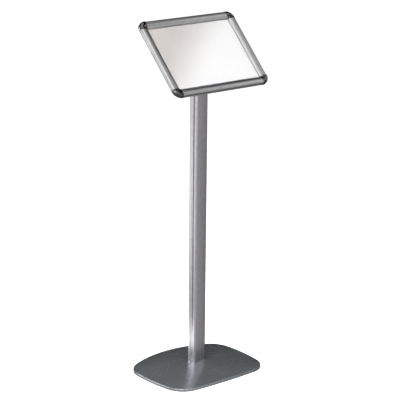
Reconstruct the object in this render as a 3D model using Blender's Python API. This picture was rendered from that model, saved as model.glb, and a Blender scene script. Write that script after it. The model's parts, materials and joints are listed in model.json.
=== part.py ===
"""Information stand: a domed steel foot, an aluminium post and a tilted A4 landscape snap frame.

Metres, +Z up. The origin is on the floor, at the centre of the foot's plan. The stand faces -Y.
The frame's pieces are built about an empty on its back plane: X along its width, Y up its slope and
Z out of its face. Each profile's section is drawn as (across, height): across from the frame's outer
edge towards the poster, height from the back plane.
"""

import math

import bmesh
import bpy
from mathutils import Matrix, Vector
from mathutils.geometry import intersect_sphere_sphere_2d

MM = 0.001
GAP = 0.3 * MM  # clearance between pieces that touch on the real stand

# Foot: its plan is four bowed sides joined by corner arcs, and its top is a shallow dome.
FOOT_WIDTH = 341 * MM
FOOT_DEPTH = 273 * MM
FRONT_BOW = 8.7 * MM
SIDE_BOW = 18.8 * MM
BACK_BOW = 53 * MM
FRONT_CORNER = 62.5 * MM
BACK_CORNER = 71 * MM
RIM_BOTTOM = 0.6 * MM
RIM_TOP = 8 * MM
RIM_ROUNDING = 2.2 * MM
DOME_RISE = 18.6 * MM  # to the dome's apex, were it not flattened
LAND_HEIGHT = 25.8 * MM  # the flat land that the post stands on
SHEET = 2.5 * MM
BALLAST_SCALE = 0.86
BALLAST_BOTTOM = 3.5 * MM
BALLAST_THICKNESS = 6 * MM
BLOCK_SIZE = (56 * MM, 40 * MM)
BLOCK_CORNER = 6 * MM
PAD_RADIUS = 12 * MM
PAD_PLACE = (116 * MM, 86 * MM)
BASE_SCREW_HOLE = 3 * MM
BASE_SCREW_HEAD = (4.5 * MM, 3.6 * MM)  # radius and height
BASE_SCREW_SHANK = (1.75 * MM, 45 * MM)  # radius and length
COUNTERBORE = (5.6 * MM, 4 * MM)  # radius and depth

# Post: an extrusion with a screw port in each corner and a shallow flute down each side
POST_Y = -6.5 * MM
POST_WIDTH = 40 * MM
POST_DEPTH = 31 * MM
POST_CORNER = 4 * MM
FLUTE_WIDTH = 8 * MM
FLUTE_DEPTH = 0.8 * MM
POST_WALL = 2 * MM
POST_TOP = 888 * MM
PORT_INSET = 3.7 * MM  # from the inner wall faces to a port's centre
PORT_BOSS = 4 * MM
PORT_HOLE = 2.1 * MM

# Frame: A4 landscape
TILT = math.radians(46)
FRAME_WIDTH = 327 * MM
FRAME_HEIGHT = 240 * MM
PROFILE = 23.5 * MM
FRAME_OFFSET = 15.9 * MM  # from the post's axis forward to the frame's centre
FRAME_Z = 901 * MM
POSTER = (297 * MM, 210 * MM)
WEB = 1.2 * MM
WEB_WIDTH = 21 * MM
RAIL_WALL = 1.4 * MM
CROWN = (10 * MM, 12.8 * MM)
LIP_BOTTOM = 4.9 * MM
SHOULDER = 5.6 * MM  # where the dome springs from the upright walls
OUTER_POWER = 2.6
INNER_POWER = 1.7
HINGE = (2.6 * MM, 4.5 * MM)
BEAD = 1.1 * MM
HOOK_INNER = 1.4 * MM
HOOK_OUTER = 2.5 * MM
HOOK_END = -10  # degrees
STEM = 1 * MM
FENCE = (12.9 * MM, 13.7 * MM)
FENCE_TOP = 4.4 * MM
SPRING_WIDTH = 18 * MM
SPRING_GAUGE = 0.5 * MM
SPRING_PLACES = {"bottom": 62 * MM, "right": 45 * MM, "top": 62 * MM, "left": 45 * MM}
CAP_PROUD = 1.1 * MM
LEG = (7.2 * MM, 12.2 * MM)
LEG_LENGTH = 30 * MM
LEG_TOP = 4 * MM
CONNECTOR_RADIUS = 22.9 * MM
CONNECTOR_CORNER = 21.3 * MM
CAP_SCREW_RADIUS = 18.9 * MM  # from the visible corner, along the diagonal

# Sheets in the frame, each as (lowest, highest) above the back plane
PANEL_HEIGHTS = (1.5 * MM, 3.5 * MM)
POSTER_HEIGHTS = (3.7 * MM, 4.0 * MM)
COVER_HEIGHTS = (4.2 * MM, 4.6 * MM)
SHEET_MARGIN = 1 * MM  # how far the panel and the cover reach past the poster

# Head bracket
PLATE_SIZE = (80 * MM, 80 * MM)
PLATE_HEIGHTS = (-2.8 * MM, 1.2 * MM)
PLATE_HOLES = 28 * MM
PLUG_LENGTH = 50 * MM
POST_SCREW_DROPS = (14 * MM, 38 * MM)

SIDES = ("bottom", "right", "top", "left")
CORNERS = ("front_right", "back_right", "back_left", "front_left")
FRAME_CORNERS = ("bottom_right", "top_right", "top_left", "bottom_left")
SEGMENTS = 12


def clear_scene():
    for obj in list(bpy.data.objects):
        bpy.data.objects.remove(obj, do_unlink=True)


def make_material(name, colour, roughness, metallic, alpha=1.0):
    material = bpy.data.materials.new(name)
    material.use_nodes = True
    shader = material.node_tree.nodes["Principled BSDF"]
    shader.inputs["Base Color"].default_value = (*colour, 1.0)
    shader.inputs["Roughness"].default_value = roughness
    shader.inputs["Metallic"].default_value = metallic
    shader.inputs["Alpha"].default_value = alpha
    return material


def arc(centre, radius, start, end, steps):
    """Points on a circle between two angles in degrees, both ends included."""
    angles = [math.radians(start + (end - start) * i / steps) for i in range(steps + 1)]
    return [(centre[0] + radius * math.cos(a), centre[1] + radius * math.sin(a)) for a in angles]


def rounded_rectangle(width, depth, radius, steps=5):
    x, y = width / 2 - radius, depth / 2 - radius
    points = []
    for i, centre in enumerate(((x, y), (-x, y), (-x, -y), (x, -y))):
        points += arc(centre, radius, 90 * i, 90 * i + 90, steps)
    return points


def rectangle(width, depth, centre=(0, 0)):
    x, y = width / 2, depth / 2
    return [(centre[0] + sx * x, centre[1] + sy * y) for sx, sy in ((-1, -1), (1, -1), (1, 1), (-1, 1))]


def circle(radius, sides, centre=(0, 0)):
    return arc(centre, radius, 0, 360, sides)[:-1]


def hexagon(radius, sides):
    """A hexagon of this corner radius, with points added along its edges up to the given number."""
    corners = [Vector(point) for point in circle(radius, 6)]
    per_edge = sides // 6
    return [
        corners[i // per_edge].lerp(corners[(i // per_edge + 1) % 6], (i % per_edge) / per_edge)
        for i in range(sides)
    ]


def at_height(outline, z):
    return [Vector((point[0], point[1], z)) for point in outline]


def loft(rings, closed=False):
    """A solid through rings of equally many points. Its ends are capped unless it closes on itself."""
    solid = bmesh.new()
    rows = [[solid.verts.new(point) for point in ring] for ring in rings]
    pairs = list(zip(rows, rows[1:]))
    if closed:
        pairs.append((rows[-1], rows[0]))
    else:
        solid.faces.new(rows[0][::-1])
        solid.faces.new(rows[-1])
    for low, high in pairs:
        for i in range(len(low)):
            j = (i + 1) % len(low)
            solid.faces.new((low[i], low[j], high[j], high[i]))
    bmesh.ops.remove_doubles(solid, verts=solid.verts, dist=1e-7)
    bmesh.ops.recalc_face_normals(solid, faces=solid.faces)
    return solid


def prism(outline, bottom, top):
    return loft([at_height(outline, bottom), at_height(outline, top)])


def extrude_section(section, length):
    """A bar along X with this (across, height) section in the YZ plane."""
    ends = (-length / 2, length / 2)
    return loft([[Vector((x, across, height)) for across, height in section] for x in ends])


def to_mesh(solid, name="shape"):
    mesh = bpy.data.meshes.new(name)
    solid.to_mesh(mesh)
    solid.free()
    return mesh


def place(name, mesh, material, location=(0, 0, 0), rotation=(0, 0, 0), parent=None):
    """Adds a piece as its own object, shaded smooth across shallow edges."""
    mesh.materials.clear()
    mesh.materials.append(material)
    mesh.shade_smooth()
    mesh.set_sharp_from_angle(angle=math.radians(35))
    piece = bpy.data.objects.new(name, mesh)
    piece.location = location
    piece.rotation_euler = rotation
    piece.parent = parent
    bpy.context.scene.collection.objects.link(piece)
    return piece


def combine(base, added=(), cut=()):
    """The base solid joined with the added solids, then cut by the others, as one mesh."""
    helpers = [bpy.data.objects.new("helper", to_mesh(solid)) for solid in (base, *added, *cut)]
    for helper in helpers:
        bpy.context.scene.collection.objects.link(helper)
    body = helpers[0]
    operations = ["UNION"] * len(added) + ["DIFFERENCE"] * len(cut)
    for helper, operation in zip(helpers[1:], operations):
        modifier = body.modifiers.new(operation.title(), "BOOLEAN")
        modifier.operation = operation
        modifier.solver = "EXACT"
        modifier.object = helper
    evaluated = body.evaluated_get(bpy.context.evaluated_depsgraph_get())
    mesh = bpy.data.meshes.new_from_object(evaluated)
    for helper in helpers:
        bpy.data.objects.remove(helper, do_unlink=True)
    return mesh


def moved(solid, offset, turn=None):
    """The solid turned by a matrix and then shifted."""
    bmesh.ops.transform(solid, matrix=Matrix.Translation(offset) @ (turn or Matrix()), verts=solid.verts)
    return solid


# --- fasteners -------------------------------------------------------------------------------------


def socket_screw(head_radius, head_height, shank_radius, shank_length, sides=SEGMENTS):
    """A cap screw with its head's underside at z = 0, its shank pointing up and a hexagon socket below."""
    socket = hexagon(head_radius * 0.5, sides)
    edge = head_height * 0.25
    return loft(
        [
            at_height(socket, -head_height * 0.45),
            at_height(socket, -head_height),
            at_height(circle(head_radius - edge, sides), -head_height),
            at_height(circle(head_radius, sides), -head_height + edge),
            at_height(circle(head_radius, sides), 0),
            at_height(circle(shank_radius, sides), 0),
            at_height(circle(shank_radius, sides), shank_length - shank_radius / 2),
            at_height(circle(shank_radius / 2, sides), shank_length),
        ]
    )


def countersunk_screw(head_radius, head_height, shank_radius, shank_length, sides=SEGMENTS):
    """A flat-headed screw with its head's face at z = 0, its shank pointing down and a hexagon socket."""
    socket = hexagon(head_radius * 0.45, sides)
    return loft(
        [
            at_height(socket, -head_height * 0.6),
            at_height(socket, 0),
            at_height(circle(head_radius, sides), 0),
            at_height(circle(shank_radius, sides), -head_height),
            at_height(circle(shank_radius, sides), -shank_length + shank_radius / 2),
            at_height(circle(shank_radius / 2, sides), -shank_length),
        ]
    )


def hexagon_nut(corner_radius, hole_radius, height, sides=SEGMENTS):
    """A nut standing on z = 0, with a turned edge."""
    outer, hole = hexagon(corner_radius, sides), circle(hole_radius, sides)
    turned = circle(corner_radius * 0.88, sides)
    return loft(
        [
            at_height(hole, 0),
            at_height(outer, 0),
            at_height(outer, height * 0.85),
            at_height(turned, height),
            at_height(hole, height),
        ],
        closed=True,
    )


# --- foot ------------------------------------------------------------------------------------------


def bow_radius(side_length, bow):
    """The radius of the arc that bows out this far over a side of this length."""
    return (side_length**2 / 4 + bow**2) / (2 * bow)


def foot_outline(steps=6):
    """The foot's plan, anticlockwise. Each corner arc is tangent to the bowed sides that it joins."""
    half_x, half_y = FOOT_WIDTH / 2, FOOT_DEPTH / 2
    side = bow_radius(FOOT_DEPTH, SIDE_BOW)
    back = bow_radius(FOOT_WIDTH, BACK_BOW)
    front = bow_radius(FOOT_WIDTH, FRONT_BOW)
    circles = [
        (Vector((half_x - side, 0)), side),
        (Vector((0, half_y - back)), back),
        (Vector((side - half_x, 0)), side),
        (Vector((0, front - half_y)), front),
    ]
    corner_radii = (BACK_CORNER, BACK_CORNER, FRONT_CORNER, FRONT_CORNER)
    corner_places = [Vector((x, y)) for x, y in ((half_x, half_y), (-half_x, half_y))]
    corner_places += [-corner_places[0], -corner_places[1]]
    turns = []
    for i, radius in enumerate(corner_radii):
        (first, first_radius), (second, second_radius) = circles[i], circles[(i + 1) % 4]
        crossings = intersect_sphere_sphere_2d(
            first, first_radius - radius, second, second_radius - radius
        )
        centre = min(crossings, key=lambda point: (point - corner_places[i]).length)
        start = math.degrees(math.atan2(*(centre - first).yx))
        end = math.degrees(math.atan2(*(centre - second).yx))
        turns.append((centre, radius, start, start + (end - start) % 360))
    points = []
    for i, (centre, radius, start, end) in enumerate(turns):
        points += arc(centre, radius, start, end, steps)[:-1]
        side_centre, side_radius = circles[(i + 1) % 4]
        next_start = turns[(i + 1) % 4][2]
        points += arc(side_centre, side_radius, end, end + (next_start - end) % 360, steps)[:-1]
    return points


def dome_height(scale):
    """The top surface's height where the plan is scaled down by this much."""
    return min(RIM_TOP + DOME_RISE * (1 - scale**2), LAND_HEIGHT)


def scaled(outline, scale, z):
    return [Vector((scale * x, scale * y, z)) for x, y in outline]


def foot_inset(distance):
    """The plan's scale that moves its front edge in by this distance."""
    return 1 - distance / (FOOT_DEPTH / 2)


def land_scale():
    return math.sqrt(1 - (LAND_HEIGHT - RIM_TOP) / DOME_RISE)


def base_screw_holes(top, radius=BASE_SCREW_HOLE):
    return [prism(circle(radius, SEGMENTS, centre), 0, top) for centre in port_places()]


def make_base_cover(material):
    outline = foot_outline()
    outer_start, inner_start = foot_inset(RIM_ROUNDING), foot_inset(SHEET)
    rounding = arc((0, 0), 1, 0, 90, 3)
    rounding_base = dome_height(outer_start) - RIM_ROUNDING
    rings = []
    inner_steps, outer_steps = 3, 6
    for i in range(inner_steps + 1):
        scale = land_scale() + (inner_start - land_scale()) * i / inner_steps
        rings.append(scaled(outline, scale, dome_height(scale) - SHEET))
    rings.append(scaled(outline, inner_start, RIM_BOTTOM))
    rings.append(scaled(outline, 1, RIM_BOTTOM))
    for across, up in rounding:
        scale = foot_inset(RIM_ROUNDING * (1 - across))
        rings.append(scaled(outline, scale, rounding_base + RIM_ROUNDING * up))
    for i in range(1, outer_steps + 1):
        scale = outer_start + (land_scale() - outer_start) * i / outer_steps
        rings.append(scaled(outline, scale, dome_height(scale)))
    holes = base_screw_holes(2 * LAND_HEIGHT)
    place("base_cover", combine(loft(rings), cut=holes), material)


def make_ballast_plate(material):
    outline = [(BALLAST_SCALE * x, BALLAST_SCALE * y) for x, y in foot_outline(steps=4)]
    top = BALLAST_BOTTOM + BALLAST_THICKNESS
    bore_radius, bore_depth = COUNTERBORE
    cuts = base_screw_holes(2 * top) + base_screw_holes(BALLAST_BOTTOM + bore_depth, bore_radius)
    place("ballast_plate", combine(prism(outline, BALLAST_BOTTOM, top), cut=cuts), material)


def make_mounting_block(material):
    bottom = BALLAST_BOTTOM + BALLAST_THICKNESS + GAP
    top = LAND_HEIGHT - SHEET - GAP
    outline = [(x, y + POST_Y) for x, y in rounded_rectangle(*BLOCK_SIZE, BLOCK_CORNER, 3)]
    place("mounting_block", combine(prism(outline, bottom, top), cut=base_screw_holes(2 * top)), material)


def make_rubber_feet(material):
    top = BALLAST_BOTTOM - GAP
    sides = 2 * SEGMENTS
    for name, (x_sign, y_sign) in zip(CORNERS, ((1, -1), (1, 1), (-1, 1), (-1, -1))):
        foot = loft(
            [
                at_height(circle(PAD_RADIUS - 1 * MM, sides), 0),
                at_height(circle(PAD_RADIUS, sides), 1 * MM),
                at_height(circle(PAD_RADIUS, sides), top),
            ]
        )
        location = (x_sign * PAD_PLACE[0], y_sign * PAD_PLACE[1], 0)
        place(f"rubber_foot_{name}", to_mesh(foot), material, location)


def make_base_screws(material):
    seat = BALLAST_BOTTOM + COUNTERBORE[1] - GAP
    for name, (x, y) in zip(CORNERS, port_places()):
        screw = socket_screw(*BASE_SCREW_HEAD, *BASE_SCREW_SHANK)
        place(f"base_screw_{name}", to_mesh(screw), material, (x, y, seat))


# --- post ------------------------------------------------------------------------------------------


def port_offsets():
    """The screw ports' places from the post's axis, in the order of CORNERS."""
    x = POST_WIDTH / 2 - POST_WALL - PORT_INSET
    y = POST_DEPTH / 2 - POST_WALL - PORT_INSET
    return [(x, -y), (x, y), (-x, y), (-x, -y)]


def port_places():
    return [(x, y + POST_Y) for x, y in port_offsets()]


def post_cavity():
    """The hollow's outline, anticlockwise, which bends round the boss of each port."""
    reach = math.degrees(math.acos(PORT_INSET / PORT_BOSS))
    points = []
    for i, (x, y) in enumerate(port_offsets()):
        points += arc((x, y), PORT_BOSS, 90 * i + 270 - reach, 90 * i + reach, 8)
    return points


def post_outline():
    """The post's section, anticlockwise: a rounded rectangle with a flute in its left and right sides."""
    corners = rounded_rectangle(POST_WIDTH, POST_DEPTH, POST_CORNER)
    half = len(corners) // 2
    radius = bow_radius(FLUTE_WIDTH, FLUTE_DEPTH)
    reach = math.degrees(math.asin(FLUTE_WIDTH / 2 / radius))
    centre = POST_WIDTH / 2 - FLUTE_DEPTH + radius
    left = arc((-centre, 0), radius, reach, -reach, 6)
    right = arc((centre, 0), radius, 180 + reach, 180 - reach, 6)
    return corners[:half] + left + corners[half:] + right


def make_post(material):
    bottom, top = LAND_HEIGHT + GAP, POST_TOP
    body = prism(post_outline(), bottom, top)
    cuts = [prism(post_cavity(), 0, 2 * top)]
    cuts += [prism(circle(PORT_HOLE, 10, centre), 0, 2 * top) for centre in port_offsets()]
    through_back = Matrix.Rotation(math.radians(-90), 4, "X")
    for drop in POST_SCREW_DROPS:
        hole = prism(circle(2.6 * MM, SEGMENTS), 0, POST_DEPTH)
        cuts.append(moved(hole, (0, 0, top - drop), through_back))
    place("post", combine(body, cut=cuts), material, (0, POST_Y, 0))


# --- head bracket ----------------------------------------------------------------------------------


def back_plane_height(y, below=0.0):
    """The height of the frame's back plane over a point of the floor, or of a plane this far under it."""
    return FRAME_Z + (y - (POST_Y - FRAME_OFFSET)) * math.tan(TILT) - below / math.cos(TILT)


def plate_centre():
    """How far up the frame's slope the post's axis meets its back plane."""
    return FRAME_OFFSET / math.cos(TILT)


def plate_holes():
    """The bracket screws' places in the frame, in the order of CORNERS."""
    signs = ((1, -1), (1, 1), (-1, 1), (-1, -1))
    return [(x * PLATE_HOLES, plate_centre() + y * PLATE_HOLES) for x, y in signs]


def make_head_bracket(material):
    outline = [(x, y + POST_Y) for x, y in rounded_rectangle(POST_WIDTH, POST_DEPTH, POST_CORNER)]
    slope_cut = -PLATE_HEIGHTS[0] - 1 * MM
    neck = loft(
        [
            at_height(outline, POST_TOP + GAP),
            [Vector((x, y, back_plane_height(y, slope_cut))) for x, y in outline],
        ]
    )
    inner_x = POST_WIDTH / 2 - POST_WALL - GAP
    inner_y = POST_DEPTH / 2 - POST_WALL - GAP
    port_x, port_y = port_offsets()[1]
    clear_x, clear_y = port_x - PORT_BOSS - 2 * GAP, port_y - PORT_BOSS - 2 * GAP
    plug_bottom, plug_top = POST_TOP - PLUG_LENGTH, POST_TOP + 2 * MM
    plug_long = prism(rectangle(2 * inner_x, 2 * clear_y, (0, POST_Y)), plug_bottom, plug_top)
    plug_short = prism(rectangle(2 * clear_x, 2 * inner_y, (0, POST_Y)), plug_bottom, plug_top)
    tilt = Matrix.Rotation(TILT, 4, "X")
    frame_place = (0, POST_Y - FRAME_OFFSET, FRAME_Z)
    plate_outline = [(x, y + plate_centre()) for x, y in rounded_rectangle(*PLATE_SIZE, 8 * MM)]
    plate = moved(prism(plate_outline, *PLATE_HEIGHTS), frame_place, tilt)
    cuts = []
    for centre in plate_holes():
        hole = prism(circle(2.4 * MM, SEGMENTS, centre), 2 * PLATE_HEIGHTS[0], 2 * PLATE_HEIGHTS[1])
        cuts.append(moved(hole, frame_place, tilt))
    to_back = Matrix.Rotation(math.radians(-90), 4, "X")
    for drop in POST_SCREW_DROPS:
        hole = prism(circle(2.3 * MM, SEGMENTS), 4 * MM, POST_DEPTH)
        cuts.append(moved(hole, (0, POST_Y, POST_TOP - drop), to_back))
    mesh = combine(neck, added=(plug_long, plug_short, plate), cut=cuts)
    place("head_bracket", mesh, material)


def make_post_screws(material):
    """Two screws through the post's back wall into the bracket's plug, one above the other."""
    for name, drop in zip(("upper", "lower"), POST_SCREW_DROPS):
        screw = socket_screw(4.7 * MM, 2.6 * MM, 2 * MM, 11 * MM, 2 * SEGMENTS)
        location = (0, POST_Y + POST_DEPTH / 2 + GAP, POST_TOP - drop)
        place(f"post_screw_{name}", to_mesh(screw), material, location, (math.radians(90), 0, 0))


# --- frame profiles --------------------------------------------------------------------------------


def dome_curve(inset, start, end, steps):
    """The profile's domed top, inset by a wall or proud of it, from one quarter's end to the other's.

    The curve runs from 180 degrees at the outer wall through 90 at the crown to 0 at the poster.
    """
    points = []
    for i in range(steps + 1):
        angle = math.radians(start + (end - start) * i / steps)
        outer_half = angle > math.pi / 2
        reach = CROWN[0] if outer_half else PROFILE - CROWN[0]
        power = 2 / (OUTER_POWER if outer_half else INNER_POWER)
        along = math.copysign(abs(math.cos(angle)) ** power, math.cos(angle))
        across = CROWN[0] + (reach - inset) * along
        height = SHOULDER + (CROWN[1] - SHOULDER - inset) * abs(math.sin(angle)) ** power
        points.append((across, height))
    return points


def snap_rail_section():
    """A domed cover with a lip at the poster and a hook that turns on the base rail's bead."""
    outer = [(0, HINGE[1])] + dome_curve(0, 180, 0, 20)
    lip = [(PROFILE, LIP_BOTTOM), (PROFILE - RAIL_WALL, LIP_BOTTOM)]
    inner = dome_curve(RAIL_WALL, 0, 160, 16)
    hook = arc(HINGE, HOOK_OUTER, 112, HOOK_END, 8) + arc(HINGE, HOOK_INNER, HOOK_END, 180, 10)
    return outer + lip + inner + hook


def base_rail_section():
    """A flat web with a fence for the sheets and a sloping stem that ends in the hinge bead."""
    down = Vector((1, -1)).normalized()
    across = Vector((1, 1)).normalized() * STEM / 2
    near, far = Vector(HINGE) + across, Vector(HINGE) - across
    near_foot = near + down * (near.y - WEB) / -down.y
    far_foot = far + down * (far.y - WEB) / -down.y
    spread = math.degrees(math.asin(STEM / 2 / BEAD))
    bead = arc(HINGE, BEAD, -45 + spread, 315 - spread, 14)
    web = [(0, 0), (WEB_WIDTH, 0), (WEB_WIDTH, WEB), (FENCE[1], WEB)]
    fence = [(FENCE[1], FENCE_TOP), (FENCE[0], FENCE_TOP), (FENCE[0], WEB)]
    return web + fence + [tuple(near_foot)] + bead + [tuple(far_foot), (0, WEB)]


def ribbon(path, gauge):
    """The closed section of a strip of this gauge that follows a path of points."""
    path = [Vector(point) for point in path]
    left, right = [], []
    for i, point in enumerate(path):
        before = path[i] - path[i - 1] if i else path[1] - path[0]
        after = path[i + 1] - path[i] if i + 1 < len(path) else before
        first, second = before.orthogonal().normalized(), after.orthogonal().normalized()
        mitre = (first + second).normalized()
        mitre *= gauge / 2 / mitre.dot(first)
        left.append(tuple(point + mitre))
        right.append(tuple(point - mitre))
    return left + right[::-1]


def spring_section():
    """A leaf that stands on the web and arches up under the snap rail."""
    seat = WEB + GAP + SPRING_GAUGE / 2
    path = [(7.3 * MM, seat), (10.8 * MM, seat)]
    path += arc((10.8 * MM, seat + 1.2 * MM), 1.2 * MM, -60, 30, 3)
    path += arc((3.2 * MM, 3 * MM), 7.8 * MM, 14, 56, 6)
    return ribbon(path, SPRING_GAUGE)


def side_place(side):
    """Where a side's outer edge is in the frame, and the turn that points its section at the poster."""
    index = SIDES.index(side)
    half = (FRAME_HEIGHT if index % 2 == 0 else FRAME_WIDTH) / 2
    turn = index * math.pi / 2
    return Vector((half * math.sin(turn), -half * math.cos(turn), 0)), turn


def rail_length(side):
    longest = FRAME_WIDTH if SIDES.index(side) % 2 == 0 else FRAME_HEIGHT
    return longest - 2 * PROFILE - 2 * GAP


def make_rails(frame, base_material, snap_material, spring_material):
    hinge_line = Vector((0, *HINGE))
    for side in SIDES:
        edge, turn = side_place(side)
        rotation = (0, 0, turn)
        to_frame = Matrix.Rotation(turn, 3, "Z")
        length = rail_length(side)
        base = extrude_section(base_rail_section(), length)
        place(f"base_rail_{side}", to_mesh(base), base_material, edge, rotation, frame)
        snap = moved(extrude_section(snap_rail_section(), length), -hinge_line)
        on_hinge = edge + to_frame @ hinge_line
        place(f"snap_rail_{side}", to_mesh(snap), snap_material, on_hinge, rotation, frame)
        for number, sign in ((1, -1), (2, 1)):
            spring = extrude_section(spring_section(), SPRING_WIDTH)
            offset = edge + to_frame @ Vector((sign * SPRING_PLACES[side], 0, 0))
            name = f"spring_{side}_{number}"
            place(name, to_mesh(spring), spring_material, offset, rotation, frame)


# --- frame corners ---------------------------------------------------------------------------------


def cap_section():
    """The cap's wall, as the snap rail's but a little proud of it and without the hook."""
    foot = WEB + GAP
    outer = [(-CAP_PROUD, foot)] + dome_curve(-CAP_PROUD, 180, 90, 7)
    outer += [(min(across, PROFILE), height) for across, height in dome_curve(-CAP_PROUD, 90, 0, 7)[1:]]
    lip = [(PROFILE, LIP_BOTTOM), (PROFILE - RAIL_WALL, LIP_BOTTOM)]
    inner = dome_curve(RAIL_WALL, 0, 180, 8)
    return outer + lip + inner + [(RAIL_WALL, foot)]


def on_diagonal(radius):
    return (radius / math.sqrt(2), radius / math.sqrt(2))


def corner_cap_mesh():
    """A quarter turn of the section about the poster's visible corner, with a boss for its screw."""
    section = [(PROFILE - across, height) for across, height in cap_section()]
    rings = []
    steps = 9
    for i in range(steps + 1):
        turn = Matrix.Rotation(math.pi / 2 * i / steps, 3, "Z")
        rings.append([turn @ Vector((radius, 0, height)) for radius, height in section])
    boss_bottom, boss_top = LEG_TOP + GAP, CROWN[1] - RAIL_WALL / 2 - 1 * MM
    centre = on_diagonal(CAP_SCREW_RADIUS)
    boss = prism(circle(2.6 * MM, SEGMENTS, centre), boss_bottom, boss_top)
    hole = prism(circle(1.3 * MM, SEGMENTS, centre), 0, boss_top - 1 * MM)
    return combine(loft(rings), added=(boss,), cut=(hole,))


def connector_mesh():
    """A quarter disc with two legs that slide into the base rails either side of the corner."""
    inside, outside = PROFILE - LEG[1], PROFILE - LEG[0]
    disc = [(0, 0)] + arc((0, 0), CONNECTOR_RADIUS, 0, 90, 12)
    start = math.degrees(math.asin(outside / CONNECTOR_CORNER))
    bend = arc((0, 0), CONNECTOR_CORNER, 90 - start, start, 4)

    def elbow(end):
        return [(end, inside), (inside, inside), (inside, end), (outside, end)] + bend + [(end, outside)]

    centre = on_diagonal(CAP_SCREW_RADIUS)
    screw_hole = prism(circle(1.5 * MM, SEGMENTS, centre), -1 * MM, 2 * LEG_TOP)
    head_hole = prism(circle(2.9 * MM, SEGMENTS, centre), -1 * MM, 2 * MM)
    floor = prism(disc, 0, WEB)
    corner = prism(elbow(2 * GAP), WEB / 2, LEG_TOP - 0.5 * MM)
    legs = prism(elbow(-LEG_LENGTH), WEB + GAP, LEG_TOP)
    return combine(floor, added=(corner, legs), cut=(screw_hole, head_hole))


def make_corners(frame, cap_material, connector_material, screw_material):
    half_x, half_y = FRAME_WIDTH / 2 - PROFILE, FRAME_HEIGHT / 2 - PROFILE
    places = ((half_x, -half_y), (half_x, half_y), (-half_x, half_y), (-half_x, -half_y))
    cap, connector = corner_cap_mesh(), connector_mesh()
    for i, (name, (x, y)) in enumerate(zip(FRAME_CORNERS, places)):
        rotation = (0, 0, (i - 1) * math.pi / 2)
        place(f"corner_cap_{name}", cap.copy(), cap_material, (x, y, 0), rotation, frame)
        place(f"corner_connector_{name}", connector.copy(), connector_material, (x, y, 0), rotation, frame)
        turn = Matrix.Rotation(rotation[2], 3, "Z")
        screw_place = Vector((x, y, 0)) + turn @ Vector((*on_diagonal(CAP_SCREW_RADIUS), 2 * MM - GAP))
        screw = socket_screw(2.5 * MM, 1.5 * MM, 1 * MM, 7 * MM)
        place(f"cap_screw_{name}", to_mesh(screw), screw_material, screw_place, rotation, frame)


# --- sheets and their fasteners --------------------------------------------------------------------


def make_back_panel(frame, material):
    width, height = (size + 2 * SHEET_MARGIN for size in POSTER)
    cuts = []
    for centre in plate_holes():
        sink = [
            at_height(circle(2.4 * MM, SEGMENTS, centre), PANEL_HEIGHTS[0] - 1 * MM),
            at_height(circle(2.4 * MM, SEGMENTS, centre), PANEL_HEIGHTS[0]),
            at_height(circle(4.8 * MM, SEGMENTS, centre), PANEL_HEIGHTS[1]),
            at_height(circle(4.8 * MM, SEGMENTS, centre), PANEL_HEIGHTS[1] + 1 * MM),
        ]
        cuts.append(loft(sink))
    panel = combine(prism(rectangle(width, height), *PANEL_HEIGHTS), cut=cuts)
    place("back_panel", panel, material, parent=frame)


def make_sheets(frame, poster_material, cover_material):
    poster = prism(rectangle(*POSTER), *POSTER_HEIGHTS)
    place("poster", to_mesh(poster), poster_material, parent=frame)
    width, height = (size + 2 * SHEET_MARGIN for size in POSTER)
    cover = prism(rectangle(width, height), *COVER_HEIGHTS)
    place("cover_sheet", to_mesh(cover), cover_material, parent=frame)


def make_bracket_fasteners(frame, material):
    names = ("lower_right", "upper_right", "upper_left", "lower_left")
    nut_height = 3.2 * MM
    for name, (x, y) in zip(names, plate_holes()):
        screw = countersunk_screw(4.1 * MM, 1.9 * MM, 2 * MM, 12 * MM)
        head = PANEL_HEIGHTS[1] - 0.1 * MM
        place(f"bracket_screw_{name}", to_mesh(screw), material, (x, y, head), parent=frame)
        nut = hexagon_nut(4.1 * MM, 2.3 * MM, nut_height)
        seat = PLATE_HEIGHTS[0] - GAP
        flipped = (math.pi, 0, 0)
        place(f"bracket_nut_{name}", to_mesh(nut), material, (x, y, seat), flipped, frame)


def main():
    clear_scene()
    painted = make_material("foot_paint", (0.16, 0.18, 0.20), 0.35, 0.6)
    anodised = make_material("anodised_aluminium", (0.60, 0.60, 0.63), 0.38, 1.0)
    chrome = make_material("chrome", (0.78, 0.78, 0.80), 0.08, 1.0)
    zinc = make_material("zinc_plated_steel", (0.55, 0.56, 0.58), 0.4, 1.0)
    steel = make_material("plain_steel", (0.35, 0.35, 0.36), 0.5, 1.0)
    cast = make_material("cast_bracket", (0.42, 0.43, 0.45), 0.5, 0.7)
    plastic = make_material("connector_plastic", (0.04, 0.04, 0.045), 0.5, 0.0)
    rubber = make_material("rubber", (0.02, 0.02, 0.02), 0.8, 0.0)
    spring_steel = make_material("spring_steel", (0.45, 0.45, 0.47), 0.3, 1.0)
    paper = make_material("paper", (0.9, 0.9, 0.9), 0.7, 0.0)
    clear = make_material("clear_sheet", (1.0, 1.0, 1.0), 0.25, 0.0, alpha=0.15)

    make_base_cover(painted)
    make_ballast_plate(steel)
    make_mounting_block(steel)
    make_rubber_feet(rubber)
    make_base_screws(zinc)
    make_post(anodised)
    make_head_bracket(cast)
    make_post_screws(zinc)

    frame = bpy.data.objects.new("frame_back_plane", None)
    frame.location = (0, POST_Y - FRAME_OFFSET, FRAME_Z)
    frame.rotation_euler = (TILT, 0, 0)
    bpy.context.scene.collection.objects.link(frame)
    make_rails(frame, anodised, anodised, spring_steel)
    make_corners(frame, chrome, plastic, zinc)
    make_back_panel(frame, zinc)
    make_sheets(frame, paper, clear)
    make_bracket_fasteners(frame, zinc)


main()
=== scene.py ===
"""Looks of the sign stand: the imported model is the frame, and each visible part gets its finish here."""

import json
import math

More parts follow.
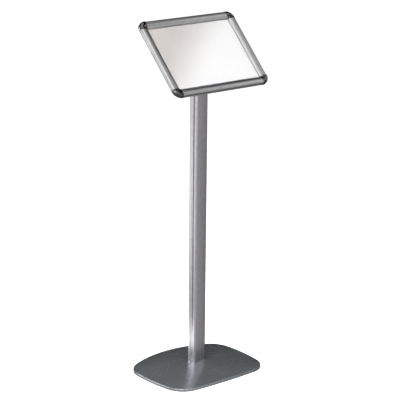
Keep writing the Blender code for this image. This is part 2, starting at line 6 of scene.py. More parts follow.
import bmesh
import bpy
from mathutils import Matrix, Vector
from mathutils.geometry import intersect_sphere_sphere_2d

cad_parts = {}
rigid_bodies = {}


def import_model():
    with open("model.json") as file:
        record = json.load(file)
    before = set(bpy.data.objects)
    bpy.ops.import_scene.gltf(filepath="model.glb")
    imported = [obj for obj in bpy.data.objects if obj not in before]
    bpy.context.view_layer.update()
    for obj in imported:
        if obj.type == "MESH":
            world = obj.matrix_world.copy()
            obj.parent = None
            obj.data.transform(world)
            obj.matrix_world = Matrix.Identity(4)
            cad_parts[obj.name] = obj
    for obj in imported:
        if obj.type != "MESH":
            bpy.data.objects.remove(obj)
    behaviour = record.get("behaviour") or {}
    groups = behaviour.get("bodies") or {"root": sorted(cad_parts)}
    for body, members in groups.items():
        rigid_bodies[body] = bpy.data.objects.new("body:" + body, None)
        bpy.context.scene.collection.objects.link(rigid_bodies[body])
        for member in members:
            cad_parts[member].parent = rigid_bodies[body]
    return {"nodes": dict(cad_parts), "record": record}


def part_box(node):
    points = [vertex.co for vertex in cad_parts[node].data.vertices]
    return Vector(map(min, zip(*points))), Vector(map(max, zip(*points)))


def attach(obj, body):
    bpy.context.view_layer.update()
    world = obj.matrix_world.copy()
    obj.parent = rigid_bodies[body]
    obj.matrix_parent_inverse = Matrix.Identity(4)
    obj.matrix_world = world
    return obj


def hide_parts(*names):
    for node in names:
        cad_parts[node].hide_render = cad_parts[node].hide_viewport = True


MM = 0.001

# Driving dimensions, as in the CAD part
FOOT_WIDTH, FOOT_DEPTH = 341 * MM, 273 * MM
FRONT_BOW, SIDE_BOW, BACK_BOW = 8.7 * MM, 18.8 * MM, 53 * MM
FRONT_CORNER, BACK_CORNER = 62.5 * MM, 71 * MM
RIM_BOTTOM, RIM_TOP, RIM_ROUNDING = 0.6 * MM, 8 * MM, 2.2 * MM
DOME_RISE, LAND_HEIGHT, SHEET = 18.6 * MM, 25.8 * MM, 2.5 * MM
POST_Y, POST_WIDTH, POST_DEPTH, POST_CORNER = -6.5 * MM, 40 * MM, 31 * MM, 4 * MM
POST_WALL, FLUTE_WIDTH, FLUTE_DEPTH = 2 * MM, 8 * MM, 0.8 * MM
TILT = math.radians(46)
FRAME_WIDTH, FRAME_HEIGHT, PROFILE = 327 * MM, 240 * MM, 23.5 * MM
FRAME_CENTRE = (0, -22.4 * MM, 901 * MM)
FRAME_PLACE = Matrix.Translation(FRAME_CENTRE) @ Matrix.Rotation(TILT, 4, "X")
CROWN, SHOULDER = (10 * MM, 12.8 * MM), 5.6 * MM
OUTER_POWER, INNER_POWER = 2.6, 1.7
LIP_BOTTOM, RAIL_WALL, WEB, GAP = 4.9 * MM, 1.4 * MM, 1.2 * MM, 0.3 * MM
HINGE, HOOK_INNER, HOOK_OUTER = (2.6 * MM, 4.5 * MM), 1.4 * MM, 2.5 * MM
CAP_PROUD = 1.1 * MM

# Degrees round the hinge where the hook's outside starts and where the hook ends, and degrees round the
# dome where its inside ends
HOOK_START, HOOK_END, INSIDE_END = 112, -10, 160

# Steps along the curves of each shape
STEPS = {
    "foot_arc": 16,
    "foot_underside": 8,
    "foot_rim": 8,
    "foot_dome": 30,
    "post_corner": 12,
    "post_flute": 16,
    "rail_outside": 56,
    "rail_inside": 32,
    "hook_outside": 14,
    "hook_inside": 18,
    "cap_outer_half": 20,
    "cap_inner_half": 24,
    "cap_inside": 24,
    "cap_turn": 24,
}

# How far sharp edges are rounded, on the pieces made here and on the CAD shapes of some finishes
RAIL_EDGE, CAP_EDGE = 0.12 * MM, 0.15 * MM
CAD_EDGES = {"cast_bracket": 0.6 * MM, "plain_steel": 0.3 * MM, "rubber": 0.3 * MM}

# Points closer than these are one, in the CAD shapes and in the shapes made here, and faces that meet
# within this angle are one flat face
CAD_WELD, WELD, FLAT = 1e-6, 1e-7, math.radians(1)

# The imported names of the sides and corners
SIDES = ("bottom", "right", "top", "left")
FRAME_CORNERS = ("bottom_right", "top_right", "top_left", "bottom_left")

# Camera, aimed at a point near the post's axis: degrees, metres, and a lens in millimetres
CAMERA_AZIMUTH, CAMERA_ELEVATION, CAMERA_ROLL = -40.18, 15.77, 0.57
CAMERA_DISTANCE, CAMERA_LENS, CAMERA_CLIP = 4.2995, 140.82, (0.05, 200)
CAMERA_AIM, CAMERA_ASIDE = (0, -7.5 * MM, 494.5 * MM), 5.1 * MM

# Soft lights that face the middle of the stand from this far: degrees round from +X, degrees up, metres
# across and high, watts
LIGHT_DISTANCE, LIGHT_AIM = 2.2, (0, 0, 0.55)
LIGHTS = {
    "back_left": (128, 14, (1.2, 0.6), 17),
    "back_left_high": (130, 36, (1.3, 0.8), 8),
    "left": (165, 8, (0.9, 0.8), 6),
    "front_left": (210, 8, (1.5, 0.8), 12),
    "front_left_strip": (197, 20, (0.4, 0.5), 9),
    "front_left_high": (212, 40, (1.8, 1.3), 15),
    "front_left_spot": (222, 31, (0.45, 0.45), 12),
    "front": (258, 8, (1.8, 0.8), 7),
    "front_right": (305, 20, (1.2, 1.0), 4),
    "front_high": (268, 46, (1.4, 1.0), 10),
    "overhead_front": (219, 67, (0.6, 0.6), 3),
    "overhead": (0, 85, (1.2, 1.2), 9),
    "right_high": (335, 42, (1.0, 0.9), 4),
    "right": (350, 14, (0.9, 0.8), 3),
    "low_left": (140, -16, (1.4, 0.6), 3),
}

# A bright patch of floor beside the foot: degrees round from +X, metres from the foot's centre, metres
# across, watts
GLOW_AZIMUTH, GLOW_DISTANCE, GLOW_SIZE, GLOW_WATTS = 132, 0.26, (0.2, 0.2), 0.25

# What the object sees of the room: radiance at each height, from straight down (0) over the horizon
# (0.5) to the top (1), how bright the room is from its dark side (0) to its bright side (1), and the
# bright side's degrees round from +X
STUDIO = ((0.0, 0.5), (0.38, 0.8), (0.45, 0.8), (0.50, 0.03), (0.84, 0.03), (0.93, 0.6))
STUDIO_SIDES = ((0.0, 0.1), (0.3, 0.14), (0.46, 0.54), (0.54, 1.15), (1.0, 1.0))
STUDIO_TURN = 215

# The floor: metres to its edges, how far it lies under the feet, how white it is and how much it glows
FLOOR_REACH, FLOOR_DROP, FLOOR_WHITE, FLOOR_GLOW = 40, 0.5 * MM, 0.9, 0.9

# Painted shade on the sheet, darker and warmer at one corner and white at the other: degrees it is
# turned by, fades to a metre, and how far the fade has come at the sheet's middle
PAINTED_SHADE_TURN, PAINTED_SHADE_SCALE, PAINTED_SHADE_MIDDLE = 48, 7.6, 0.72

# The span that noise values mostly fill
NOISE_LOW, NOISE_HIGH = 0.3, 0.7


# --- node helpers ----------------------------------------------------------------------------------


class Finish:
    """A material with short calls for its node tree."""

    def __init__(self, name, colour, roughness, metallic=0.0, **sockets):
        self.material = bpy.data.materials.new(name)
        self.material.use_nodes = True
        self.tree = self.material.node_tree
        self.shader = self.tree.nodes["Principled BSDF"]
        self.shader.inputs["Base Color"].default_value = (*colour, 1.0)
        self.shader.inputs["Roughness"].default_value = roughness
        self.shader.inputs["Metallic"].default_value = metallic
        for socket, value in sockets.items():
            self.shader.inputs[socket.replace("_", " ")].default_value = value

    def node(self, kind):
        return self.tree.nodes.new("ShaderNode" + kind)

    def link(self, source, target):
        self.tree.links.new(source, target)

    def coordinates(self, scale):
        """The piece's own coordinates, in metres, stretched by a scale per axis."""
        place = self.node("TexCoord")
        stretch = self.node("Mapping")
        stretch.inputs["Scale"].default_value = scale
        self.link(place.outputs["Object"], stretch.inputs["Vector"])
        return stretch.outputs["Vector"]

    def noise(self, scale, detail=3.0, stretch=(1, 1, 1), rough=0.5):
        made = self.node("TexNoise")
        made.inputs["Scale"].default_value = scale
        made.inputs["Detail"].default_value = detail
        made.inputs["Roughness"].default_value = rough
        self.link(self.coordinates(stretch), made.inputs["Vector"])
        return made.outputs["Fac"]

    def spread(self, value, low, high):
        """A noise value, stretched from the span it mostly fills to these limits."""
        made = self.node("MapRange")
        made.inputs["From Min"].default_value = NOISE_LOW
        made.inputs["From Max"].default_value = NOISE_HIGH
        made.inputs["To Min"].default_value = low
        made.inputs["To Max"].default_value = high
        self.link(value, made.inputs["Value"])
        return made.outputs["Result"]

    def tint(self, value, dark, light):
        """A colour between two tones, chosen by a noise value."""
        ramp = self.node("ValToRGB")
        ramp.color_ramp.elements[0].position = NOISE_LOW
        ramp.color_ramp.elements[0].color = (*dark, 1.0)
        ramp.color_ramp.elements[1].position = NOISE_HIGH
        ramp.color_ramp.elements[1].color = (*light, 1.0)
        self.link(value, ramp.inputs["Fac"])
        return ramp.outputs["Color"]

    def bump(self, value, depth, strength=1.0, below=None):
        made = self.node("Bump")
        made.inputs["Distance"].default_value = depth
        made.inputs["Strength"].default_value = strength
        self.link(value, made.inputs["Height"])
        if below:
            self.link(below, made.inputs["Normal"])
        return made.outputs["Normal"]

    def drive(self, socket, source):
        self.link(source, self.shader.inputs[socket])


def shade(colour, factor):
    return tuple(channel * factor for channel in colour)


def anodised(name, colour, roughness):
    """Satin anodised extrusion: fine die lines along X, with a cloudy etch under them."""
    finish = Finish(name, colour, roughness, 1.0)
    lines = finish.noise(1, detail=2, stretch=(4, 2600, 2600))
    cloud = finish.noise(70, detail=4)
    finish.drive("Base Color", finish.tint(cloud, shade(colour, 0.93), shade(colour, 1.05)))
    finish.drive("Roughness", finish.spread(lines, roughness - 0.05, roughness + 0.06))
    etch = finish.bump(finish.noise(2500, detail=2), depth=0.02 * MM, strength=0.2)
    finish.drive("Normal", finish.bump(lines, depth=0.02 * MM, strength=0.15, below=etch))
    return finish.material


def powder_coat(name, colour, roughness):
    """Semi-gloss textured paint: orange peel, a fine metallic mottle and faint handling marks."""
    finish = Finish(name, colour, roughness, 0.7)
    mottle = finish.noise(900, detail=3)
    smear = finish.noise(9, detail=5, stretch=(1, 2.2, 1), rough=0.6)
    finish.drive("Base Color", finish.tint(mottle, shade(colour, 0.92), shade(colour, 1.08)))
    finish.drive("Roughness", finish.spread(smear, roughness - 0.05, roughness + 0.07))
    peel = finish.bump(finish.noise(420, detail=2), depth=0.05 * MM, strength=0.25)
    finish.drive("Normal", finish.bump(mottle, depth=0.02 * MM, strength=0.2, below=peel))
    return finish.material


def plated(name, colour, roughness, lacquer=0.0):
    """Bright or dull plating with polishing marks and a little haze, and lacquer over it if wanted."""
    finish = Finish(name, colour, roughness, 1.0, Coat_Weight=lacquer, Coat_Roughness=0.05)
    haze = finish.noise(260, detail=4)
    finish.drive("Base Color", finish.tint(haze, shade(colour, 0.94), shade(colour, 1.04)))
    finish.drive("Roughness", finish.spread(haze, roughness - 0.03, roughness + 0.05))
    finish.drive("Normal", finish.bump(finish.noise(1400, detail=2), depth=0.01 * MM, strength=0.3))
    return finish.material


def grained(name, colour, roughness, metallic=0.0, grain=1200, depth=0.03 * MM):
    """Cast metal, moulded plastic or rubber with an even grain."""
    finish = Finish(name, colour, roughness, metallic)
    tone = finish.noise(120, detail=4)
    fine = finish.noise(grain, detail=3)
    finish.drive("Base Color", finish.tint(tone, shade(colour, 0.9), shade(colour, 1.08)))
    finish.drive("Roughness", finish.spread(fine, roughness - 0.06, roughness + 0.06))
    finish.drive("Normal", finish.bump(fine, depth, strength=0.6))
    return finish.material


def galvanised(name, colour, roughness):
    """Zinc-coated sheet with its spangle."""
    finish = Finish(name, colour, roughness, 1.0)
    spangle = finish.node("TexVoronoi")
    spangle.inputs["Scale"].default_value = 170
    finish.link(finish.coordinates((1, 1, 1)), spangle.inputs["Vector"])
    flakes = finish.node("SeparateColor")
    finish.link(spangle.outputs["Color"], flakes.inputs["Color"])
    tone, dullness = flakes.outputs["Red"], flakes.outputs["Green"]
    finish.drive("Base Color", finish.tint(tone, shade(colour, 0.95), shade(colour, 1.04)))
    finish.drive("Roughness", finish.spread(dullness, roughness - 0.02, roughness + 0.03))
    finish.drive("Normal", finish.bump(finish.noise(900, detail=2), depth=0.01 * MM, strength=0.4))
    return finish.material


def paper(name, painted_shade, white):
    """Smooth white stock, with a soft painted shade that runs from a darker corner to white at the other.
    """
    finish = Finish(name, white, 0.55)
    place = finish.node("TexCoord")
    turn = finish.node("Mapping")
    turn.inputs["Location"].default_value = (PAINTED_SHADE_MIDDLE, 0, 0)
    turn.inputs["Rotation"].default_value = (0, 0, math.radians(PAINTED_SHADE_TURN))
    turn.inputs["Scale"].default_value = (PAINTED_SHADE_SCALE, PAINTED_SHADE_SCALE, 1)
    finish.link(place.outputs["Object"], turn.inputs["Vector"])
    axis = finish.node("SeparateXYZ")
    finish.link(turn.outputs["Vector"], axis.inputs["Vector"])
    # Painted shade: the colour fades from the shaded tone at one corner to white at the other
    ramp = finish.node("ValToRGB")
    ramp.color_ramp.interpolation = "EASE"
    ramp.color_ramp.elements[0].color = (*painted_shade, 1.0)
    ramp.color_ramp.elements[1].color = (*white, 1.0)
    finish.link(axis.outputs["X"], ramp.inputs["Fac"])
    finish.drive("Base Color", ramp.outputs["Color"])
    finish.drive("Normal", finish.bump(finish.noise(1500, detail=3), depth=0.01 * MM, strength=0.3))
    return finish.material


def clear_sheet(name):
    """Thin anti-glare cover film."""
    finish = Finish(name, (1, 1, 1), 0.22, Transmission_Weight=1.0, IOR=1.3)
    finish.drive("Roughness", finish.spread(finish.noise(300, detail=3), 0.18, 0.26))
    finish.drive("Normal", finish.bump(finish.noise(1800, detail=2), depth=0.005 * MM, strength=0.2))
    return finish.material


def make_finishes():
    """One finish for each packed material slot."""
    return {
        "foot_paint": powder_coat("foot_paint_look", (0.28, 0.298, 0.315), 0.26),
        "anodised": anodised("post_look", (0.42, 0.41, 0.435), 0.27),
        "rail_anodised": anodised("rail_look", (0.39, 0.39, 0.395), 0.32),
        "base_anodised": anodised("base_rail_look", (0.39, 0.39, 0.40), 0.36),
        "chrome": plated("chrome_look", (0.04, 0.037, 0.037), 0.12, lacquer=1.0),
        "zinc_plate": plated("zinc_look", (0.55, 0.56, 0.58), 0.32),
        "plain_steel": grained("steel_look", (0.30, 0.30, 0.31), 0.45, metallic=1.0),
        "galvanised": galvanised("galvanised_look", (0.52, 0.53, 0.55), 0.36),
        "cast_bracket": grained(
            "cast_look", (0.33, 0.34, 0.36), 0.48, metallic=0.8, grain=700, depth=0.06 * MM
        ),
        "black_plastic": grained("plastic_look", (0.03, 0.03, 0.033), 0.45),
        "rubber": grained("rubber_look", (0.02, 0.02, 0.02), 0.75, grain=600, depth=0.08 * MM),
        "spring_steel": plated("spring_look", (0.40, 0.40, 0.42), 0.25),
        # The paper's painted shade, darker and warmer at one corner of the sheet
        "paper": paper("paper_look", painted_shade=(0.62, 0.585, 0.565), white=(0.93, 0.93, 0.93)),
        "clear_sheet": clear_sheet("clear_look"),
    }


# --- mesh helpers ----------------------------------------------------------------------------------


def arc(centre, radius, start, end, steps):
    """Points round a centre, between two angles in degrees."""
    angles = [math.radians(start + (end - start) * i / steps) for i in range(steps + 1)]
    return [(centre[0] + radius * math.cos(a), centre[1] + radius * math.sin(a)) for a in angles]


def loft(rings, closed=False):
    """A solid through rings of equally many points. Its ends are capped unless it closes on itself."""
    solid = bmesh.new()
    rows = [[solid.verts.new(point) for point in ring] for ring in rings]
    pairs = list(zip(rows, rows[1:]))
    if closed:
        pairs.append((rows[-1], rows[0]))
    else:
        solid.faces.new(rows[0][::-1])
        solid.faces.new(rows[-1])
    for low, high in pairs:
        for i in range(len(low)):
            j = (i + 1) % len(low)
            solid.faces.new((low[i], low[j], high[j], high[i]))
    bmesh.ops.remove_doubles(solid, verts=solid.verts, dist=WELD)
    bmesh.ops.recalc_face_normals(solid, faces=solid.faces)
    return solid


def add_piece(name, solid, material, matrix=None, sharp=35, bevel=0.0):
    """The solid as an object, smooth across shallow edges, with its sharp ones rounded by a bevel."""
    mesh = bpy.data.meshes.new(name)
    solid.to_mesh(mesh)
    solid.free()
    mesh.materials.append(material)
    mesh.shade_smooth()
    piece = bpy.data.objects.new(name, mesh)
    bpy.context.scene.collection.objects.link(piece)
    piece.matrix_world = matrix or Matrix.Identity(4)
    if bevel:
        rounding = piece.modifiers.new("edges", "BEVEL")
        rounding.width = bevel
        rounding.segments = 2
        rounding.limit_method = "ANGLE"
        rounding.angle_limit = math.radians(sharp)
    mesh.set_sharp_from_angle(angle=math.radians(sharp))
    return piece


def put(piece, node, body):
    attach(piece, body)
    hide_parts(node)


def smooth_copy(node, body, material, place, bevel=0.0):
    """The CAD node's own shape, welded so that its curves shade smoothly, with its origin at a place."""
    solid = bmesh.new()
    solid.from_mesh(bpy.data.objects[node].data)
    solid.transform(place.inverted())
    bmesh.ops.remove_doubles(solid, verts=solid.verts, dist=CAD_WELD)
    bmesh.ops.dissolve_limit(solid, angle_limit=FLAT, verts=solid.verts, edges=solid.edges)
    piece = add_piece(node + "_finish", solid, material, place, bevel=bevel)
    put(piece, node, body)


# --- shapes ----------------------------------------------------------------------------------------


def bow_radius(side_length, bow):
    """The radius of an arc that bows out so far over a side."""
    return (side_length**2 / 4 + bow**2) / (2 * bow)


def foot_outline(steps):
    """The foot's plan, anticlockwise: four bowed sides with tangent corner arcs."""
    half_x, half_y = FOOT_WIDTH / 2, FOOT_DEPTH / 2
    side = bow_radius(FOOT_DEPTH, SIDE_BOW)
    back = bow_radius(FOOT_WIDTH, BACK_BOW)
    front = bow_radius(FOOT_WIDTH, FRONT_BOW)
    circles = [
        (Vector((half_x - side, 0)), side),
        (Vector((0, half_y - back)), back),
        (Vector((side - half_x, 0)), side),
        (Vector((0, front - half_y)), front),
    ]
    radii = (BACK_CORNER, BACK_CORNER, FRONT_CORNER, FRONT_CORNER)
    corners = [Vector((x * half_x, y * half_y)) for x, y in ((1, 1), (-1, 1), (-1, -1), (1, -1))]
    turns = []
    for i, radius in enumerate(radii):
        (first, first_radius), (second, second_radius) = circles[i], circles[(i + 1) % 4]
        crossings = intersect_sphere_sphere_2d(
            first, first_radius - radius, second, second_radius - radius
        )
        centre = min(crossings, key=lambda point: (point - corners[i]).length)
        start = math.degrees(math.atan2(*(centre - first).yx))
        end = math.degrees(math.atan2(*(centre - second).yx))
        turns.append((centre, radius, start, start + (end - start) % 360))
    points = []
    for i, (centre, radius, start, end) in enumerate(turns):
        points += arc(centre, radius, start, end, steps)[:-1]
        side_centre, side_radius = circles[(i + 1) % 4]
        next_start = turns[(i + 1) % 4][2]
        points += arc(side_centre, side_radius, end, end + (next_start - end) % 360, steps)[:-1]
    return points


def foot_solid():
    """The foot as a shell: its underside from the post's land outwards, then the rim, then the dome."""
    outline = foot_outline(STEPS["foot_arc"])

    def ring(scale, z):
        return [Vector((scale * x, scale * y, z)) for x, y in outline]

    def dome(scale):
        return min(RIM_TOP + DOME_RISE * (1 - scale**2), LAND_HEIGHT)

    def inset(distance):
        return 1 - distance / (FOOT_DEPTH / 2)

    land = math.sqrt(1 - (LAND_HEIGHT - RIM_TOP) / DOME_RISE)
    start, inner = inset(RIM_ROUNDING), inset(SHEET)
    rings = []
    for i in range(STEPS["foot_underside"] + 1):
        scale = land + (inner - land) * i / STEPS["foot_underside"]
        rings.append(ring(scale, dome(scale) - SHEET))
    rings += [ring(inner, RIM_BOTTOM), ring(1, RIM_BOTTOM)]
    base = dome(start) - RIM_ROUNDING
    for across, up in arc((0, 0), 1, 0, 90, STEPS["foot_rim"]):
        rings.append(ring(inset(RIM_ROUNDING * (1 - across)), base + RIM_ROUNDING * up))
    for i in range(STEPS["foot_dome"]):
        scale = start + (land - start) * (i + 1) / STEPS["foot_dome"]
        rings.append(ring(scale, dome(scale)))
    return loft(rings)


def rounded_rectangle(width, depth, radius, steps):
    """Its outline, anticlockwise from where the right side meets the first corner."""
    x, y = width / 2 - radius, depth / 2 - radius
    points = []
    for i, centre in enumerate(((x, y), (-x, y), (-x, -y), (x, -y))):
        points += arc(centre, radius, 90 * i, 90 * i + 90, steps)
    return points


def post_outline(inset):
    """The post's section, anticlockwise, with a flute in its left and right sides."""
    width, depth = POST_WIDTH - 2 * inset, POST_DEPTH - 2 * inset
    corners = rounded_rectangle(width, depth, POST_CORNER - inset, STEPS["post_corner"])
    half = len(corners) // 2
    radius = bow_radius(FLUTE_WIDTH, FLUTE_DEPTH)
    reach = math.degrees(math.asin(FLUTE_WIDTH / 2 / radius))
    centre = POST_WIDTH / 2 - inset - FLUTE_DEPTH + radius
    left = arc((-centre, 0), radius, reach, -reach, STEPS["post_flute"])
    right = arc((centre, 0), radius, 180 + reach, 180 - reach, STEPS["post_flute"])
    return corners[:half] + left + corners[half:] + right


def post_solid(length):
    """The post lying along X, so that its die lines run along it."""
    outer, inner = post_outline(0), post_outline(POST_WALL)
    levels = ((outer, 0), (outer, length), (inner, length), (inner, 0))
    return loft([[Vector((up, y, -x)) for x, y in outline] for outline, up in levels], closed=True)


def dome_curve(inset, start, end, steps):
    """The profile's domed top, from 180 degrees at the outer wall to 0 at the poster."""
    points = []
    for i in range(steps + 1):
        angle = math.radians(start + (end - start) * i / steps)
        outer_half = angle > math.pi / 2
        reach = CROWN[0] if outer_half else PROFILE - CROWN[0]
        power = 2 / (OUTER_POWER if outer_half else INNER_POWER)
        along = math.copysign(abs(math.cos(angle)) ** power, math.cos(angle))
        across = CROWN[0] + (reach - inset) * along
        points.append((across, SHOULDER + (CROWN[1] - SHOULDER - inset) * abs(math.sin(angle)) ** power))
    return points


def snap_section():
    """A snap rail's section: the dome outside, the lip, the dome inside and the hook round the hinge."""
    outer = [(0, HINGE[1])] + dome_curve(0, 180, 0, STEPS["rail_outside"])
    lip = [(PROFILE, LIP_BOTTOM), (PROFILE - RAIL_WALL, LIP_BOTTOM)]
    inner = dome_curve(RAIL_WALL, 0, INSIDE_END, STEPS["rail_inside"])
    hook = arc(HINGE, HOOK_OUTER, HOOK_START, HOOK_END, STEPS["hook_outside"])
    hook += arc(HINGE, HOOK_INNER, HOOK_END, 180, STEPS["hook_inside"])
    return outer + lip + inner + hook


def cap_section():
    """A corner cap's section: a rail's dome, a little proud of it, with an outer wall down to the web."""
    foot = WEB + GAP
    outer = [(-CAP_PROUD, foot)] + dome_curve(-CAP_PROUD, 180, 90, STEPS["cap_outer_half"])
    inner_half = dome_curve(-CAP_PROUD, 90, 0, STEPS["cap_inner_half"])[1:]
    outer += [(min(across, PROFILE), height) for across, height in inner_half]
    lip = [(PROFILE, LIP_BOTTOM), (PROFILE - RAIL_WALL, LIP_BOTTOM)]
    inside = dome_curve(RAIL_WALL, 0, 180, STEPS["cap_inside"])
    return outer + lip + inside + [(RAIL_WALL, foot)]


def make_foot(paint):
    piece = add_piece("foot_shell", foot_solid(), paint, sharp=30)
    put(piece, "base_cover", "stand")


def make_post(aluminium):
    low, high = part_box("post")
    stand_up = Matrix.Translation((0, POST_Y, low.z)) @ Matrix.Rotation(-math.pi / 2, 4, "Y")
    piece = add_piece("post_tube", post_solid(high.z - low.z), aluminium, stand_up)
    put(piece, "post", "stand")


def side_place(side):
    """A frame side's middle at its outer edge, with X along the side and Y towards the poster."""
    index = SIDES.index(side)
    half = (FRAME_HEIGHT if index % 2 == 0 else FRAME_WIDTH) / 2
    turn = index * math.pi / 2
    edge = Vector((half * math.sin(turn), -half * math.cos(turn), 0))
    return FRAME_PLACE @ Matrix.Translation(edge) @ Matrix.Rotation(turn, 4, "Z")


def make_snap_rails(aluminium):
    """The four hinged rails, each between two caps with a small gap."""
    for index, side in enumerate(SIDES):
        length = (FRAME_WIDTH if index % 2 == 0 else FRAME_HEIGHT) - 2 * PROFILE - 2 * GAP
        ends = (-length / 2, length / 2)
        solid = loft([[Vector((x, across, up)) for across, up in snap_section()] for x in ends])
        piece = add_piece(f"rail_cover_{side}", solid, aluminium, side_place(side), bevel=RAIL_EDGE)
        put(piece, f"snap_rail_{side}", f"rail_{side}")


def make_caps(chrome):
    """The four corner caps, each a quarter turn of the cap's section about the frame's inner corner."""
    half_x, half_y = FRAME_WIDTH / 2 - PROFILE, FRAME_HEIGHT / 2 - PROFILE
    places = ((half_x, -half_y), (half_x, half_y), (-half_x, half_y), (-half_x, -half_y))
    section = [(PROFILE - across, height) for across, height in cap_section()]
    for i, (name, (x, y)) in enumerate(zip(FRAME_CORNERS, places)):
        rings = []
        for step in range(STEPS["cap_turn"] + 1):
            turn = Matrix.Rotation(math.pi / 2 * step / STEPS["cap_turn"], 3, "Z")
            rings.append([turn @ Vector((radius, 0, height)) for radius, height in section])
        quarter_turns = Matrix.Rotation((i - 1) * math.pi / 2, 4, "Z")
        place = FRAME_PLACE @ Matrix.Translation((x, y, 0)) @ quarter_turns
        piece = add_piece(f"corner_dome_{name}", loft(rings), chrome, place, bevel=CAP_EDGE)
        put(piece, f"corner_cap_{name}", "stand")


def make_rest(frame, finishes):
    """Every other node keeps its CAD shape. Its packed material is named after its slot."""
    body_of = {n: body for body, nodes in frame["record"]["behaviour"]["bodies"].items() for n in nodes}
    done = {"base_cover", "post"}
    done |= {f"snap_rail_{side}" for side in SIDES} | {f"corner_cap_{name}" for name in FRAME_CORNERS}
    places = {f"base_rail_{side}": side_place(side) for side in SIDES}
    places |= {node: FRAME_PLACE for node in ("poster", "cover_sheet", "back_panel")}
    for node in sorted(frame["nodes"]):
        if node in done:
            continue
        slot = frame["nodes"][node].data.materials[0].name
        place = places.get(node, Matrix.Identity(4))
        smooth_copy(node, body_of[node], finishes[slot], place, CAD_EDGES.get(slot, 0.0))


# --- studio ----------------------------------------------------------------------------------------


def make_camera():
    """Looks at the stand from the front left and a little above, rolled slightly."""
    azimuth, elevation, roll = map(math.radians, (CAMERA_AZIMUTH, CAMERA_ELEVATION, CAMERA_ROLL))
    flat = math.cos(elevation)
    back = Vector((math.sin(azimuth) * flat, -math.cos(azimuth) * flat, math.sin(elevation)))
    level = Vector((math.cos(azimuth), math.sin(azimuth), 0))
    above = back.cross(level)
    right = math.cos(roll) * level + math.sin(roll) * above
    up = -math.sin(roll) * level + math.cos(roll) * above
    aim = level * CAMERA_ASIDE + Vector(CAMERA_AIM)
    camera = bpy.data.objects.new("camera", bpy.data.cameras.new("camera"))
    camera.data.lens = CAMERA_LENS
    camera.data.clip_start, camera.data.clip_end = CAMERA_CLIP
    camera.matrix_world = Matrix.LocRotScale(
        aim + back * CAMERA_DISTANCE, Matrix((right, up, back)).transposed().to_quaternion(), None
    )
    bpy.context.scene.collection.objects.link(camera)
    bpy.context.scene.camera = camera


def around(azimuth, elevation=0):
    """The direction at these degrees round from +X and up."""
    turn, rise = math.radians(azimuth), math.radians(elevation)
    return Vector((math.cos(turn) * math.cos(rise), math.sin(turn) * math.cos(rise), math.sin(rise)))


def add_light(name, location, away, size, watts):
    """A soft light that faces back along a direction and that the camera does not see."""
    data = bpy.data.lights.new(name, "AREA")
    data.shape = "RECTANGLE"
    data.size, data.size_y = size
    data.energy = watts
    light = bpy.data.objects.new(name, data)
    light.location = location
    light.rotation_euler = (-away).to_track_quat("-Z", "Y").to_euler()
    light.visible_camera = False
    bpy.context.scene.collection.objects.link(light)


def make_lights():
    for name, (azimuth, elevation, size, watts) in LIGHTS.items():
        away = around(azimuth, elevation)
        add_light(name, Vector(LIGHT_AIM) + away * LIGHT_DISTANCE, away, size, watts)
    down = Vector((0, 0, -1))
    add_light("floor_glow", around(GLOW_AZIMUTH) * GLOW_DISTANCE, down, GLOW_SIZE, GLOW_WATTS)


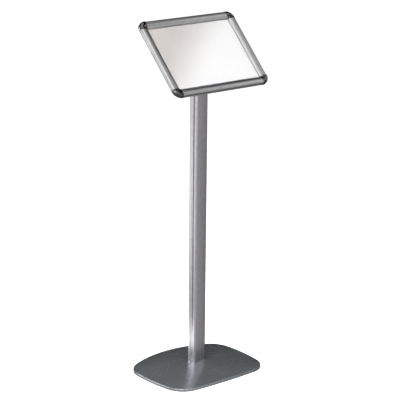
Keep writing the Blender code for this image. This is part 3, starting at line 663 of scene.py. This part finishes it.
def make_world():
    """White to the camera. The object sees a room in bands of brightness, brighter on one side."""
    world = bpy.data.worlds.new("studio")
    world.use_nodes = True
    bpy.context.scene.world = world
    tree = world.node_tree
    tree.nodes.clear()
    place = tree.nodes.new("ShaderNodeTexCoord")
    turn = tree.nodes.new("ShaderNodeMapping")
    turn.inputs["Rotation"].default_value = (0, 0, -math.radians(STUDIO_TURN))
    axis = tree.nodes.new("ShaderNodeSeparateXYZ")
    studio = tree.nodes.new("ShaderNodeBackground")
    white = tree.nodes.new("ShaderNodeBackground")
    path = tree.nodes.new("ShaderNodeLightPath")
    mix = tree.nodes.new("ShaderNodeMixShader")
    out = tree.nodes.new("ShaderNodeOutputWorld")
    tree.links.new(place.outputs["Generated"], turn.inputs["Vector"])
    tree.links.new(turn.outputs["Vector"], axis.inputs["Vector"])
    for component, stops, socket in (("Z", STUDIO, "Color"), ("X", STUDIO_SIDES, "Strength")):
        share = tree.nodes.new("ShaderNodeMapRange")
        share.inputs["From Min"].default_value = -1
        ramp = tree.nodes.new("ShaderNodeValToRGB")
        for i, (position, level) in enumerate(stops):
            element = ramp.color_ramp.elements[i] if i < 2 else ramp.color_ramp.elements.new(position)
            element.position = position
            element.color = (level, level, level, 1)
        tree.links.new(axis.outputs[component], share.inputs["Value"])
        tree.links.new(share.outputs["Result"], ramp.inputs["Fac"])
        tree.links.new(ramp.outputs["Color"], studio.inputs[socket])
    tree.links.new(path.outputs["Is Camera Ray"], mix.inputs["Fac"])
    tree.links.new(studio.outputs["Background"], mix.inputs[1])
    tree.links.new(white.outputs["Background"], mix.inputs[2])
    white.inputs["Color"].default_value = (1, 1, 1, 1)
    tree.links.new(mix.outputs["Shader"], out.inputs["Surface"])


def make_floor():
    """A plain white floor that leaves the reflections to the studio."""
    solid = bmesh.new()
    ways = ((-1, -1), (1, -1), (1, 1), (-1, 1))
    solid.faces.new([solid.verts.new((x * FLOOR_REACH, y * FLOOR_REACH, -FLOOR_DROP)) for x, y in ways])
    mesh = bpy.data.meshes.new("floor")
    solid.to_mesh(mesh)
    solid.free()
    material = bpy.data.materials.new("floor_white")
    material.use_nodes = True
    shader = material.node_tree.nodes["Principled BSDF"]
    shader.inputs["Base Color"].default_value = (FLOOR_WHITE, FLOOR_WHITE, FLOOR_WHITE, 1)
    shader.inputs["Roughness"].default_value = 0.9
    shader.inputs["Emission Color"].default_value = (1, 1, 1, 1)
    shader.inputs["Emission Strength"].default_value = FLOOR_GLOW
    mesh.materials.append(material)
    floor = bpy.data.objects.new("floor", mesh)
    bpy.context.scene.collection.objects.link(floor)
    floor.visible_glossy = False
    floor.visible_diffuse = False
    floor.visible_shadow = False


def main():
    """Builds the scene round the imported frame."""
    for obj in list(bpy.data.objects):
        bpy.data.objects.remove(obj, do_unlink=True)
    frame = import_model()
    bpy.context.view_layer.update()
    bpy.context.scene.view_settings.view_transform = "Standard"
    make_camera()
    make_world()
    make_floor()
    make_lights()
    finishes = make_finishes()
    make_foot(finishes["foot_paint"])
    make_post(finishes["anodised"])
    make_snap_rails(finishes["rail_anodised"])
    make_caps(finishes["chrome"])
    make_rest(frame, finishes)


main()
